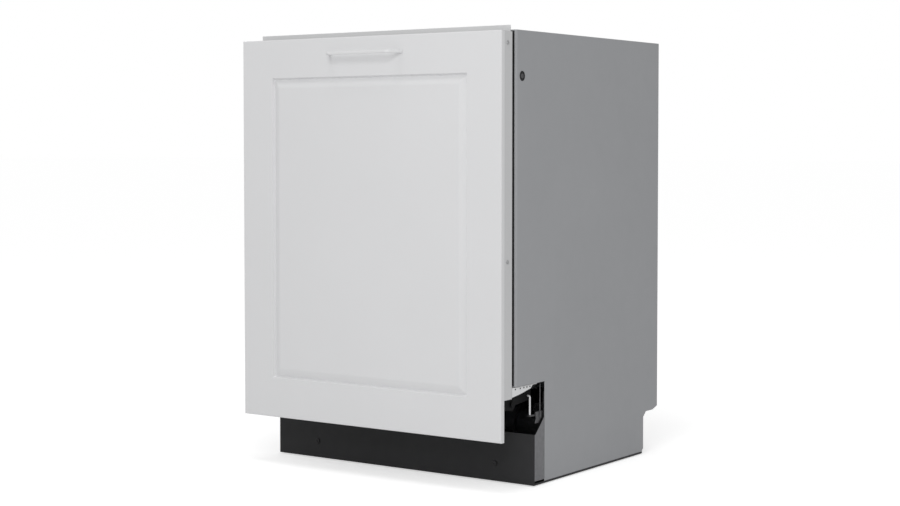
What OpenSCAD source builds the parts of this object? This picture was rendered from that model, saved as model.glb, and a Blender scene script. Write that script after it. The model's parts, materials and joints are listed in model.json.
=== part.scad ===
// Built-in dishwasher with a framed furniture panel on its door.
// Front faces -Y, the floor is z = 0, and the origin is the middle of the footprint.

/* [Cabinet] */
// Overall width of the cabinet
body_w = 598; // [596:1:600]
// Height of the cabinet sides above the floor
body_h = 815; // [815:1:845]
// Thickness of the steel sheet in the cabinet
sheet_t = 1; // [0.8:0.1:1.2]

/* [Door] */
// Width of the furniture panel
panel_w = 595; // [593:1:596]
// Height of the lower edge of the furniture panel
panel_z0 = 93; // [92:1:96]
// Height of the upper edge of the furniture panel
panel_z1 = 812; // [808:1:812]
// Thickness of the furniture panel
panel_t = 10; // [10:0.5:10.5]
// Width of the panel's frame
frame_w = 72; // [60:1:90]
// Distance that the handle stands out of the panel
handle_reach = 28; // [24:1:28]

/* [Tub] */
// Inside width of the tub
tub_w = 544; // [540:1:546]
// Thickness of the tub's steel
tub_t = 1.2; // [1:0.1:1.5]

/* [Racks] */
// Side of the square bars in the racks
bar = 4; // [3.5:0.5:4]
// Number of lengthwise bars in a rack's floor
rack_bars = 9; // [7:1:11]

/* [Hidden] */
$fn = 64;
half_w = body_w / 2;
half_d = 298;
panel_y0 = -270;
panel_y1 = panel_y0 + panel_t;
shell_y1 = -235;
cab_y0 = -225;
rear_y = half_d;
hinge_y = -220;
hinge_z = 155;
notch_y = -129;
notch_z = 187;
step_z = 84;
step_y = 241;
kick_y = -164;
kick_z = 94;
tub_x = tub_w / 2;
tub_z0 = 172;
tub_z1 = 790;
tub_y1 = 270;
opening_x = 268;
opening_z = 784;
gasket_x = 264;
pan_x = 258;
pan_z0 = 186;
pan_z1 = 770;
pan_y = -208;
shell_x = 297;
shell_z0 = 167;
shell_z1 = 811;
control_z = 780;
arm_y = 25;
filter_y = -85;
lower_half = 240;
upper_half = 245;
rack_y0 = -170;
rack_y1 = 258;
wheel_r = 16;
wheel_y = [-90, 190];
axle_r = 3;
handle_x = 80;
handle_z = 781;
wheel_z = tub_z0 + wheel_r + 0.3;
lower_z = 206;
lower_top = 345;
upper_z = 470;
upper_top = 600;
tray_z = 730;
tray_top = 765;
button_x = [-200, -150, -110, 200];
button_half = [7, 4.5];
button_y = -248;
bearing_gap = 0.06;
rail_x = 286.8;
foot_x = 262;
port_x = [-230, -175, 200];
port_z = 50;
float_x = -200;
float_y = -150;
mast_z = 440;
rinse_x = 122;
rinse_z = 500;
upper_rail_z = 560;
tray_rail_z = 748;
latch_x = 30;
disp = [-110, 150, 430, 570];
side_hole = [-205.6, 734.5];
pump_y = 60;
pump_z = 70;
pump_x = 95;
drain_x = -110;

// ---- helpers ----

// A box from its low and high limits on each axis
module span(x0, x1, y0, y1, z0, z1) {
    translate([x0, y0, z0]) cube([x1 - x0, y1 - y0, z1 - z0]);
}

module rod_x(r, x0, x1, y, z) {
    translate([x0, y, z]) rotate([0, 90, 0]) cylinder(r = r, h = x1 - x0);
}

module rod_y(r, x, y0, y1, z) {
    translate([x, y1, z]) rotate([90, 0, 0]) cylinder(r = r, h = y1 - y0);
}

module rod_z(r, x, y, z0, z1) {
    translate([x, y, z0]) cylinder(r = r, h = z1 - z0);
}

// The same thing on both sides of the machine
module both() {
    for (side = [0, 1]) mirror([side, 0, 0]) children();
}

// A flat outline in Y and Z, given thickness along X
module side_plate(x0, x1) {
    translate([x0, 0, 0]) rotate([90, 0, 90]) linear_extrude(height = x1 - x0) children();
}

// ---- door ----

recess_x = panel_w / 2 - frame_w;
recess_z0 = panel_z0 + frame_w + 3;
recess_z1 = panel_z1 - frame_w;
bevel_w = 17;

module custom_panel() {
    color("whitesmoke") difference() {
        span(-panel_w / 2, panel_w / 2, panel_y0, panel_y1, panel_z0, panel_z1);
        difference() {
            span(-recess_x, recess_x, panel_y0 - 1, panel_y0 + 4, recess_z0, recess_z1);
            span(-recess_x + bevel_w, recess_x - bevel_w, panel_y0 - 2, panel_y0 + 5,
                 recess_z0 + bevel_w, recess_z1 - bevel_w);
        }
        for (side = [-1, 1]) {
            rod_y(2.2, side * handle_x, panel_y0 - 1, panel_y1 + 1, handle_z);
            rod_y(4.6, side * handle_x, panel_y1 - 3.2, panel_y1 + 1, handle_z);
        }
    }
}

module panel_handle() {
    bar_half = 72;
    bar_h = 5.6;
    bar_y = panel_y0 - handle_reach;
    color("gainsboro") difference() {
        translate([0, 0, handle_z - bar_h / 2]) linear_extrude(height = bar_h) union() {
            translate([-bar_half, bar_y]) square([2 * bar_half, 6]);
            for (side = [-1, 1]) polygon([[side * (bar_half - 10), bar_y], [side * bar_half, bar_y],
                                          [side * (handle_x + 6), panel_y0],
                                          [side * (handle_x - 6), panel_y0]]);
        }
        for (side = [-1, 1]) rod_y(2, side * handle_x, panel_y0 - 8, panel_y0 + 1, handle_z);
    }
}

screw_y = -249.5;
screw_z = [409, 791];

module outer_door_shell() {
    color("lightgrey") difference() {
        union() {
            span(-shell_x, shell_x, panel_y1, panel_y1 + sheet_t, shell_z0, shell_z1);
            both() {
                span(shell_x - sheet_t, shell_x, panel_y1, shell_y1, shell_z0, shell_z1);
                span(shell_x - 7, shell_x, shell_y1 - sheet_t, shell_y1, shell_z0, control_z - 1);
            }
        }
        both() for (z = screw_z) rod_x(2, shell_x - 3, shell_x + 1, screw_y, z);
    }
}

module door_screws() {
    color("darkgrey") both() {
        for (z = screw_z) {
            rod_x(1.9, shell_x - 9, shell_x, screw_y, z);
            rod_x(3.6, shell_x, shell_x + 1, screw_y, z);
        }
        rod_y(1.95, handle_x, panel_y0 - 7, panel_y1 - 3, handle_z);
        rod_y(4.4, handle_x, panel_y1 - 3.1, panel_y1 - 0.4, handle_z);
    }
}

module inner_door_liner() {
    wall = 1;
    color("silver") difference() {
        union() {
            span(-289, 289, shell_y1, shell_y1 + wall, 180, control_z - 1);
            span(-pan_x, pan_x, shell_y1, pan_y, pan_z0, pan_z1);
        }
        span(-pan_x + wall, pan_x - wall, shell_y1 - 1, pan_y - wall, pan_z0 + wall, pan_z1 - wall);
        span(disp[0] - 0.3, disp[1] + 0.3, pan_y - 3, pan_y + 1, disp[2] - 0.3, disp[3] + 0.3);
    }
}

module door_insulation() {
    color("dimgrey") span(-250, 250, panel_y1 + 1.5, shell_y1 - 1, 190, 760);
}

module control_panel() {
    slot_gap = 0.4;
    color("dimgray") difference() {
        span(-295.5, 295.5, panel_y1 + 1.2, shell_y1, control_z, shell_z1);
        span(-292.5, 292.5, panel_y1 + 3.2, shell_y1 - 2, control_z - 1, shell_z1 - 3);
        for (x = button_x) span(x - button_half[0] - slot_gap, x + button_half[0] + slot_gap,
                                button_y - button_half[1] - slot_gap,
                                button_y + button_half[1] + slot_gap,
                                shell_z1 - 4, shell_z1 + 1);
        span(-45, 45, button_y - 7, button_y + 7, shell_z1 - 4, shell_z1 + 1);
        span(-18, 18, shell_y1 - 3, shell_y1 + 1, 784, 796);
        both() rod_x(2, 291, 297, screw_y, screw_z[1]);
    }
}

module control_board() {
    color("darkgreen") span(-230, 230, -255, -240, 797, 798.6);
}

module display_window() {
    color("black") union() {
        span(-44.7, 44.7, button_y - 6.7, button_y + 6.7, shell_z1 - 3, shell_z1);
        span(-47, 47, button_y - 7.5, button_y + 7.5, shell_z1 - 4.5, shell_z1 - 3);
    }
}

// One sprung button: its cap stands in a slot in the top of the door, over a wider flange
module button(x) {
    color("silver") union() {
        span(x - button_half[0], x + button_half[0], button_y - button_half[1],
             button_y + button_half[1], shell_z1 - 5, shell_z1 + 0.8);
        span(x - button_half[0] - 2, x + button_half[0] + 2, button_y - 6, button_y + 6,
             shell_z1 - 6, shell_z1 - 4);
    }
}

module door_latch() {
    color("black") difference() {
        span(-latch_x, latch_x, -254, shell_y1 - 2.2, 782, 795.5);
        span(-18, 18, -252, shell_y1, 784.5, 793.5);
    }
}

module dispenser_body() {
    color("whitesmoke") difference() {
        span(disp[0], disp[1], -232, -206.5, disp[2], disp[3]);
        span(10, 90, -226, -200, 445, 545);
        rod_y(19, rinse_x, -222, -200, rinse_z);
    }
}

module dispenser_lid() {
    color("lightgrey") union() {
        span(5, 95, -206.2, -203.5, 440, 550);
        span(40, 60, -203.5, -201.5, 446, 452);
    }
}

module rinse_aid_cap() {
    color("steelblue") union() {
        rod_y(18.6, rinse_x, -220, -205, rinse_z);
        span(rinse_x - 2, rinse_x + 2, -205, -202, rinse_z - 16, rinse_z + 16);
    }
}

module lower_door_seal() {
    color("black") span(-257, 257, shell_y1 + 1, -223.5, 178, 185.8);
}

// ---- hinges ----

arm_x0 = 284;
arm_x1 = 287;
pin_r = 4;

module hinge_arms() {
    color("darkgrey") both() difference() {
        side_plate(arm_x0, arm_x1) union() {
            polygon([[-256, 150], [-220, 143], [-220, 167], [-240, 170], [-240, 420], [-256, 420]]);
            translate([hinge_y, hinge_z]) circle(12);
        }
        rod_x(pin_r + bearing_gap, arm_x0 - 1, arm_x1 + 1, hinge_y, hinge_z);
    }
}

module hinge_pins() {
    color("silver") both() {
        rod_x(pin_r, 279, 288.4, hinge_y, hinge_z);
        rod_x(pin_r + 2, 288.4, 290, hinge_y, hinge_z);
    }
}

module hinge_brackets() {
    color("lightgrey") both() difference() {
        union() {
            side_plate(280, 283) polygon([[-233, 186], [-233, 168], [-228, 148], [-210, 146],
                                          [-165, 148], [-150, 186]]);
            span(280, 296.4, -233, -165, 184, 186);
            side_plate(294.4, 296.4) polygon([[-233, 184.5], [-233, 168], [-198, 172],
                                              [-176, 178], [-165, 184.5]]);
        }
        rod_x(pin_r, 279, 284, hinge_y, hinge_z);
        for (y = [-224, -202, -188, -178]) rod_x(1.8, 293, 298, y, 181);
    }
}

module hinge_springs() {
    rod_r = 1.8;
    color("grey") both() {
        rod_z(rod_r, 290, -165, 130, 165);
        span(287, 293.2, -168, -140, 126, 130);
        span(294.8, 296.6, -141, -139.6, 122, 184);
        side_plate(293.2, 295.2) polygon([[-154, 134], [-151, 123], [-155, 113], [-143, 113],
                                          [-129.5, 123], [-129.5, 134]]);
        rod_y(7, 286, -138, 60, 140);
        rod_y(2, 286, 60, 100, 140);
    }
}

// ---- cabinet ----

module side_outline() {
    difference() {
        polygon([[cab_y0, notch_z], [notch_y, notch_z], [notch_y, 6], [step_y - 6, 6],
                 [step_y, 12], [step_y, step_z - 10], [step_y + 11, step_z], [rear_y - 19, step_z],
                 [rear_y, 90], [rear_y, body_h], [cab_y0, body_h]]);
        translate(side_hole) circle(9);
    }
}

// Plan of one cabinet side: a flat sheet with a return at each end and a rounded front bend
module side_plan(inset, radius) {
    difference() {
        translate([half_w - 12, cab_y0 + inset]) square([12 - inset, rear_y - cab_y0 - 2 * inset]);
        translate([half_w - inset - radius, cab_y0 + inset - 1]) difference() {
            square([radius + 1, radius + 1]);
            translate([0, radius + 1]) circle(radius);
        }
    }
}

module right_side_panel() {
    bend_r = 4.5;
    color("darkgrey") intersection() {
        linear_extrude(height = body_h) difference() {
            side_plan(0, bend_r);
            side_plan(sheet_t, bend_r - sheet_t);
            translate([half_w - 13, cab_y0 + sheet_t])
                square([2, rear_y - cab_y0 - 2 * sheet_t]);
        }
        side_plate(half_w - 13, half_w + 1) side_outline();
    }
}

module left_side_panel() {
    mirror([1, 0, 0]) right_side_panel();
}

module top_front_rail() {
    color("lightgrey") difference() {
        union() {
            span(-rail_x, rail_x, cab_y0, cab_y0 + 1, 797.5, body_h + 8.6);
            span(-rail_x, rail_x, cab_y0, -190, 814, body_h);
        }
        for (side = [-1, 1]) rod_z(2.5, side * 240, -207, 813, 816);
    }
}

module rear_cross_rail() {
    color("silver") difference() {
        span(-rail_x, rail_x, 272, 296.8, 798, body_h);
        span(-288, 288, 271, 295.6, 797, body_h - 1.2);
    }
}

module rear_panel() {
    color("silver") difference() {
        span(-rail_x, rail_x, rear_y - 1, rear_y, 90, body_h);
        for (x = [-260, 260], z = [120, 780]) rod_y(2.4, x, rear_y - 2, rear_y + 1, z);
    }
}

// Bushes in the side fixing holes, and the strips clipped to the cabinet's front edges
module side_trims() {
    strip_t = 1.5;
    color("black") both() {
        difference() {
            union() {
                rod_x(8.9, half_w - 8, half_w, side_hole[0], side_hole[1]);
                rod_x(11, half_w - 3, half_w - 1, side_hole[0], side_hole[1]);
            }
            rod_x(5.5, half_w - 2.5, half_w + 1, side_hole[0], side_hole[1]);
            rod_x(2.1, half_w - 9, half_w + 1, side_hole[0], side_hole[1]);
        }
        span(288, 295, cab_y0 - strip_t, cab_y0, notch_z + 2, body_h - 2);
    }
}

kick_screws = [-202, 214];
kick_screw_z = 34;

module toe_kick() {
    color("black") difference() {
        union() {
            span(-half_w, half_w, kick_y, kick_y + 1.5, 2, kick_z);
            both() side_plate(half_w - 1.2, half_w) polygon([[kick_y, 9.5], [notch_y - 0.4, 9.5],
                [notch_y - 0.4, 123], [kick_y + 5, kick_z], [kick_y, kick_z]]);
        }
        for (x = kick_screws) rod_y(2.6, x, kick_y - 1, kick_y + 3, kick_screw_z);
    }
}

module kick_screw(x) {
    difference() {
        union() {
            rod_y(2.5, x, kick_y, kick_y + 12, kick_screw_z);
            rod_y(5, x, kick_y - 1.8, kick_y, kick_screw_z);
        }
        translate([x, kick_y - 0.6, kick_screw_z]) rotate([90, 0, 0]) cylinder(r = 2, h = 3, $fn = 6);
    }
}

module cabinet_screws() {
    color("black") {
        for (x = kick_screws) kick_screw(x);
        both() {
            rod_x(2, half_w - 16, half_w - 2.5, side_hole[0], side_hole[1]);
            translate([half_w - 2.5, side_hole[0], side_hole[1]]) rotate([0, 90, 0])
                cylinder(r = 5, h = 2.5, $fn = 6);
        }
    }
}

base_wall = 3;
base_y0 = -160;
foot_y = [-110, 180];

module base_tray() {
    outer_x = half_w - 1.5;
    color("black") difference() {
        union() {
            span(-outer_x, outer_x, base_y0, 224, 1.5, 5);
            both() span(outer_x - base_wall, outer_x, -128, step_y - 2, 1.5, 168);
            span(-outer_x, outer_x, step_y - 6, step_y - 2, 8, 168);
            for (x = kick_screws) span(x - 7, x + 7, base_y0 - 2, base_y0 + 14, 5, 50);
            for (x = [-foot_x, foot_x], y = foot_y) rod_z(12, x, y, 1.5, 36);
        }
        for (x = kick_screws) rod_y(2.6, x, base_y0 - 3, base_y0 + 12, kick_screw_z);
        for (x = [-foot_x, foot_x], y = foot_y) {
            rod_z(5.1, x, y, 0, 37);
            rod_z(17.5, x, y, 0, 3.6);
        }
        rod_y(14, port_x[0], step_y - 8, step_y, port_z);
        rod_y(11, port_x[1], step_y - 8, step_y, port_z);
        rod_y(9, port_x[2], step_y - 8, step_y, port_z);
        span(-9, 9, step_y - 8, step_y, 125, 143);
    }
}

module levelling_feet() {
    color("dimgrey") for (x = [-foot_x, foot_x], y = foot_y) {
        rod_z(17, x, y, 0, 3.5);
        rod_z(5, x, y, 3.5, 45);
    }
}

// ---- tub ----

module tub_wrap() {
    color("silver") difference() {
        span(-tub_x - tub_t, tub_x + tub_t, cab_y0 + 2.2, tub_y1, tub_z0, tub_z1 + tub_t);
        span(-tub_x, tub_x, cab_y0, tub_y1 + 1, tub_z0 - 1, tub_z1);
    }
}

module tub_back_wall() {
    color("silver") difference() {
        span(-tub_x - tub_t, tub_x + tub_t, tub_y1, tub_y1 + tub_t, tub_z0, tub_z1 + tub_t);
        rod_y(9, 0, tub_y1 - 1, tub_y1 + 3, mast_z);
    }
}

module tub_floor() {
    color("silver") difference() {
        union() {
            span(-tub_x - tub_t, tub_x + tub_t, cab_y0 + 2.2, tub_y1 + tub_t, tub_z0 - tub_t, tub_z0);
            span(-tub_x, tub_x, cab_y0 + 2.2, cab_y0 + 4, tub_z0 - 16, tub_z0);
        }
        rod_z(58, 0, filter_y, tub_z0 - 3, tub_z0 + 1);
        rod_z(15, 0, arm_y, tub_z0 - 3, tub_z0 + 1);
        rod_z(8.4, float_x, float_y, tub_z0 - 3, tub_z0 + 1);
    }
}

module tub_front_frame() {
    color("silver") difference() {
        span(-rail_x, rail_x, cab_y0 + 1, cab_y0 + 2.2, 187, 797.4);
        span(-opening_x, opening_x, cab_y0, cab_y0 + 3, 100, opening_z);
    }
}

module tub_gasket() {
    gasket_y0 = shell_y1 + 1.4;
    color("black") difference() {
        span(-276, 276, gasket_y0, cab_y0 + 1, 187.5, 794);
        span(-gasket_x, gasket_x, gasket_y0 - 1, cab_y0 + 2, 100, 777);
        span(-18, 18, gasket_y0 - 1, cab_y0 + 2, 783, 797);
    }
}

module latch_strike() {
    color("silver") difference() {
        union() {
            span(-12, 12, -246, cab_y0 + 1, 788, 790.5);
            span(-17, 17, cab_y0 - 0.2, cab_y0 + 1, 784.2, 795);
        }
        span(-7, 7, -242, -236, 785, 792);
    }
}

module tub_insulation() {
    mat = 6;
    color("darkslategray") difference() {
        span(-tub_x - tub_t - mat, tub_x + tub_t + mat, -215, tub_y1 - 5, 230, tub_z1 + tub_t + mat);
        span(-tub_x - tub_t, tub_x + tub_t, -216, tub_y1, 229, tub_z1 + tub_t);
    }
}

// ---- water circuit ----

module sump() {
    color("grey") difference() {
        union() {
            rod_z(66, 0, filter_y, 100, tub_z0 - tub_t);
            span(-16, 16, filter_y, arm_y + 16, 118, 150);
            rod_z(20, 0, arm_y, 118, tub_z0 - tub_t);
            rod_z(11, float_x, float_y, 150, tub_z0 - tub_t);
            span(float_x - 5, -60, float_y - 5, float_y + 5, 150, 156);
        }
        rod_z(60, 0, filter_y, 104, tub_z0);
        rod_z(12, 0, arm_y, 124, tub_z0);
        rod_z(7.9, float_x, float_y, 152, tub_z0);
        rod_y(12, 0, filter_y, arm_y, 134);
    }
}

module filter_cup() {
    color("gainsboro") difference() {
        union() {
            rod_z(36, 0, filter_y, 108, 174);
            rod_z(57.5, 0, filter_y, 169, 172);
            span(-3, 3, filter_y - 30, filter_y + 30, 174, 179);
        }
        rod_z(33, 0, filter_y, 110, 171);
        for (a = [0 : 30 : 330]) translate([0, filter_y, 0]) rotate([0, 0, a])
            span(30, 40, -3, 3, 116, 160);
    }
}

module circulation_pump() {
    color("dimgrey") difference() {
        union() {
            rod_x(38, pump_x, pump_x + 40, pump_y, pump_z);
            rod_x(30, pump_x + 40, pump_x + 120, pump_y, pump_z);
            span(pump_x + 10, pump_x + 30, pump_y - 8, pump_y + 8, pump_z + 20, 118);
            span(pump_x + 50, pump_x + 110, pump_y - 12, pump_y + 12, 5, 50);
        }
        rod_x(34, pump_x + 4, pump_x + 34, pump_y, pump_z);
    }
}

module pump_impeller() {
    color("white") union() {
        rod_x(8, pump_x + 6, pump_x + 30, pump_y, pump_z);
        rod_x(30, pump_x + 26, pump_x + 29, pump_y, pump_z);
        for (a = [0 : 60 : 300]) translate([pump_x + 10, pump_y, pump_z]) rotate([a, 0, 0])
            translate([0, -1, 0]) cube([17, 2, 29]);
    }
}

module drain_pump() {
    color("grey") union() {
        rod_x(24, drain_x - 50, drain_x, -60, 60);
        rod_x(9, drain_x - 70, drain_x - 50, -60, 60);
        span(drain_x - 40, drain_x - 10, -72, -48, 5, 40);
        rod_y(6, drain_x - 25, -60, 0, 75);
    }
}

// A connection that leaves through the rear wall of the base: a body, a neck and a stub
module rear_port(x, body_half, stub_r, reach) {
    span(x - body_half[0], x + body_half[0], step_y - 56, step_y - 26, port_z - body_half[1],
         port_z + body_half[1]);
    rod_y(stub_r - 0.8, x, step_y - 26, step_y, port_z);
    rod_y(stub_r, x, step_y, step_y + reach, port_z);
}

module inlet_valve() {
    color("white") {
        rear_port(port_x[0], [20, 15], 13.2, 15);
        rear_port(port_x[1], [11, 10], 9.5, 24);
        rear_port(port_x[2], [30, 25], 8.6, 10);
    }
}

module air_break() {
    color("whitesmoke") span(-296, -281, -100, 160, 300, 640);
}

module float_switch() {
    color("white") union() {
        rod_z(16, float_x, float_y, tub_z0 + 0.4, 186);
        rod_z(7.6, float_x, float_y, 157, tub_z0 + 0.4);
    }
}

module spray_feed_tube() {
    color("whitesmoke") union() {
        rod_z(11.8, 0, arm_y, 150, 182);
        rod_y(8.8, 0, tub_y1 - 22, tub_y1 + 14, mast_z);
        span(-8, 8, arm_y + 20.3, tub_y1 + 20, 126, 142);
        span(-8, 8, tub_y1 + 1.4, tub_y1 + 20, 126, 770);
    }
}

// A flat spray arm turned through an angle, with raised edges and a row of jets along the top
module spray_arm(reach, y, z, turn) {
    jets = 6;
    translate([0, y, z]) rotate([0, 0, turn]) difference() {
        union() {
            translate([0, 0, 3]) cube([2 * reach - 30, 34, 6], center = true);
            for (side = [-1, 1]) translate([side * (reach - 17), 0, 0]) cylinder(r = 17, h = 6);
            cylinder(r = 28, h = 9);
        }
        for (side = [-1, 1], i = [1 : jets])
            translate([side * (28 + i * (reach - 45) / jets), side * 6, 3]) cylinder(r = 2.2, h = 4);
    }
}

module lower_spray_arm() {
    color("lightgrey") spray_arm(225, arm_y, 183, 25);
}

module upper_spray_arm() {
    color("lightgrey") spray_arm(190, 35, 448, -35);
}

// ---- racks ----

corner_gap = 0.2;

function bar_place(i, low, high) = low + i * (high - low - bar) / (rack_bars - 1);

// The floor of a rack: square bars both ways
module rack_floor(z, x, y0, y1) {
    for (i = [0 : rack_bars - 1]) {
        span(bar_place(i, -x, x), bar_place(i, -x, x) + bar, y0, y1, z, z + bar);
        span(-x, x, bar_place(i, y0, y1), bar_place(i, y0, y1) + bar, z, z + bar);
    }
}

// The walls of a rack: upright bars between a foot bar and a rim on each of four sides
module rack_walls(z0, z1, x, y0, y1) {
    for (y = [y0, y1 - bar]) {
        span(-x, x, y, y + bar, z1 - bar, z1);
        span(-x, x, y, y + bar, z0, z0 + bar);
        for (i = [0 : 2 : rack_bars - 1])
            span(bar_place(i, -x, x), bar_place(i, -x, x) + bar, y, y + bar, z0, z1);
    }
    for (side = [-x, x - bar]) {
        span(side, side + bar, y0 + bar + corner_gap, y1 - bar - corner_gap, z1 - bar, z1);
        span(side, side + bar, y0 + bar + corner_gap, y1 - bar - corner_gap, z0, z0 + bar);
        for (i = [2 : 2 : rack_bars - 2])
            span(side, side + bar, bar_place(i, y0, y1), bar_place(i, y0, y1) + bar, z0, z1);
    }
}

tine_x = [0, 60, 120, 180];
tine_y0 = 40;
tine_step = 34;
tines = 6;

module lower_rack() {
    tine_z = lower_z + bar + corner_gap;
    color("darkgray") union() {
        rack_floor(lower_z, lower_half, rack_y0, rack_y1);
        for (x = tine_x) {
            span(x, x + bar, tine_y0, tine_y0 + (tines - 1) * tine_step + bar, tine_z, tine_z + bar);
            for (i = [0 : tines - 1])
                span(x, x + bar, tine_y0 + i * tine_step, tine_y0 + i * tine_step + bar, tine_z, 300);
        }
    }
}

module lower_rack_walls() {
    color("darkgray") union() {
        rack_walls(lower_z + bar, lower_top, lower_half, rack_y0, rack_y1);
        both() for (y = wheel_y) {
            span(lower_half, lower_half + 2, y - 5, y + 5, wheel_z - 5, lower_z + 2 * bar);
            rod_x(axle_r, lower_half + 2, 256.5, y, wheel_z);
        }
    }
}

// A pair of wheels on one axle line
module wheel_pair(y) {
    color("grey") both() difference() {
        rod_x(wheel_r, 243, 254, y, wheel_z);
        rod_x(axle_r + bearing_gap, 242, 255, y, wheel_z);
    }
}

module cutlery_basket() {
    color("grey") difference() {
        span(60, 228, -158, -50, lower_z + bar + 0.2, 330);
        for (i = [0 : 2]) span(64 + i * 54, 114 + i * 54, -154, -54, lower_z + bar + 4, 331);
    }
}

module upper_rack() {
    color("darkgray") union() {
        rack_floor(upper_z, upper_half, rack_y0, rack_y1);
        rod_z(9, 0, 35, upper_z - 12, upper_z + bar);
        span(-9, 9, 35, rack_y1, upper_z - 3, upper_z + 1);
    }
}

module upper_rack_walls() {
    color("darkgray") union() {
        rack_walls(upper_z + bar, upper_top, upper_half, rack_y0, rack_y1);
        both() span(upper_half, 262.5, rack_y0 + bar + corner_gap, rack_y1 - bar - corner_gap,
                    upper_rail_z - 6, upper_rail_z + 6);
    }
}

module cutlery_tray() {
    color("darkgray") rack_floor(tray_z, upper_half, rack_y0, rack_y1);
}

module cutlery_tray_walls() {
    color("darkgray") union() {
        rack_walls(tray_z + bar, tray_top, upper_half, rack_y0, rack_y1);
        both() span(upper_half, 262.5, rack_y0 + bar + corner_gap, rack_y1 - bar - corner_gap,
                    tray_rail_z - 4, tray_rail_z + 4);
    }
}

module rack_rails() {
    color("silver") both() {
        for (z = [upper_rail_z, tray_rail_z]) difference() {
            span(259, tub_x, -205, 262, z - 9, z + 9);
            span(258, 264, -206, 263, z - 6.5, z + 6.5);
        }
    }
}

custom_panel();
panel_handle();
outer_door_shell();
door_screws();
inner_door_liner();
door_insulation();
control_panel();
control_board();
display_window();
button(button_x[0]);  // power_button
button(button_x[1]);  // program_button
button(button_x[2]);  // option_button
button(button_x[3]);  // start_button
door_latch();
dispenser_body();
dispenser_lid();
rinse_aid_cap();
lower_door_seal();
hinge_arms();
hinge_pins();
hinge_brackets();
hinge_springs();
left_side_panel();
right_side_panel();
top_front_rail();
rear_cross_rail();
rear_panel();
side_trims();
cabinet_screws();
toe_kick();
base_tray();
levelling_feet();
tub_wrap();
tub_back_wall();
tub_floor();
tub_front_frame();
tub_gasket();
latch_strike();
tub_insulation();
sump();
filter_cup();
circulation_pump();
pump_impeller();
drain_pump();
inlet_valve();
air_break();
float_switch();
spray_feed_tube();
lower_spray_arm();
upper_spray_arm();
lower_rack();
lower_rack_walls();
wheel_pair(wheel_y[0]);  // front_wheels
wheel_pair(wheel_y[1]);  // rear_wheels
cutlery_basket();
upper_rack();
upper_rack_walls();
rack_rails();
cutlery_tray();
cutlery_tray_walls();
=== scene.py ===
import json
import math

import bmesh
import bpy
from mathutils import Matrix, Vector, noise


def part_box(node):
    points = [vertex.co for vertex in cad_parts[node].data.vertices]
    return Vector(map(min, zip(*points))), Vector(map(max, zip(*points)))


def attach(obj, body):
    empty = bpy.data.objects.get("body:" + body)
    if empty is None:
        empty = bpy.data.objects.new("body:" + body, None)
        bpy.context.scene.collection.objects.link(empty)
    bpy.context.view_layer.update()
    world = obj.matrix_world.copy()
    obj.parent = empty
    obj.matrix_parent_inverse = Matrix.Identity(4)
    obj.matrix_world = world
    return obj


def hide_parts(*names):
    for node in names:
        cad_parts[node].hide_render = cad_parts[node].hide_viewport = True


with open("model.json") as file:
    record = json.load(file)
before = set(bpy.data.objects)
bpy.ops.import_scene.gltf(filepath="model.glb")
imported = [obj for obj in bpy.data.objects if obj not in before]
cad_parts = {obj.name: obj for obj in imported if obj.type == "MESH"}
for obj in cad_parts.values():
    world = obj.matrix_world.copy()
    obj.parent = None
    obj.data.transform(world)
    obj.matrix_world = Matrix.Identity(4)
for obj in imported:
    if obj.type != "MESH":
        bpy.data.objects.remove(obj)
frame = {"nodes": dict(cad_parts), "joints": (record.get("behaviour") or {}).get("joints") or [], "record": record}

MM = 0.001
SIDES = (-1, 1)
UP = Vector((0, 0, 1))
scene = bpy.context.scene
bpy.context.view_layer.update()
nodes = frame["nodes"]
slot_of_node = {row["node"]: row["material_slot"] for row in frame["record"]["subparts"]}
joint_place = {joint["name"]: joint.get("pos_m") for joint in frame["joints"]}
body_of_node = {}
for body_name, members in frame["record"]["behaviour"]["bodies"].items():
    for member in members:
        body_of_node[member] = body_name


# ---- camera, floor and light ----

FOCAL_PX = 1718.35
FRAME_PX = 900
SENSOR_MM = 36
LENS_RISE = -0.04
CAMERA_AT = Vector((1.93264, -2.75574, 0.61331))
CAMERA_YAW = math.radians(35.05)
CAMERA_PITCH = math.radians(2.4)
FLOOR_REACH = 60
FLOOR_GLOW = 0.5
SURROUND = 0.55
KEY_WATTS = 25
TOP_WATTS = 9


def make_camera():
    data = bpy.data.cameras.new("camera")
    data.sensor_width = SENSOR_MM
    data.lens = SENSOR_MM * FOCAL_PX / FRAME_PX
    data.shift_y = LENS_RISE
    camera = bpy.data.objects.new("camera", data)
    camera.location = CAMERA_AT
    camera.rotation_euler = (math.pi / 2 - CAMERA_PITCH, 0, CAMERA_YAW)
    scene.collection.objects.link(camera)
    scene.camera = camera


def seen_directly(tree, unseen, seen, socket):
    """Gives a stage piece one brightness as the camera sees it and another as a source of light."""
    level = tree.nodes.new("ShaderNodeMapRange")
    level.inputs["To Min"].default_value = unseen
    level.inputs["To Max"].default_value = seen
    path = tree.nodes.new("ShaderNodeLightPath")
    tree.links.new(path.outputs["Is Camera Ray"], level.inputs["Value"])
    tree.links.new(level.outputs["Result"], socket)


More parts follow.
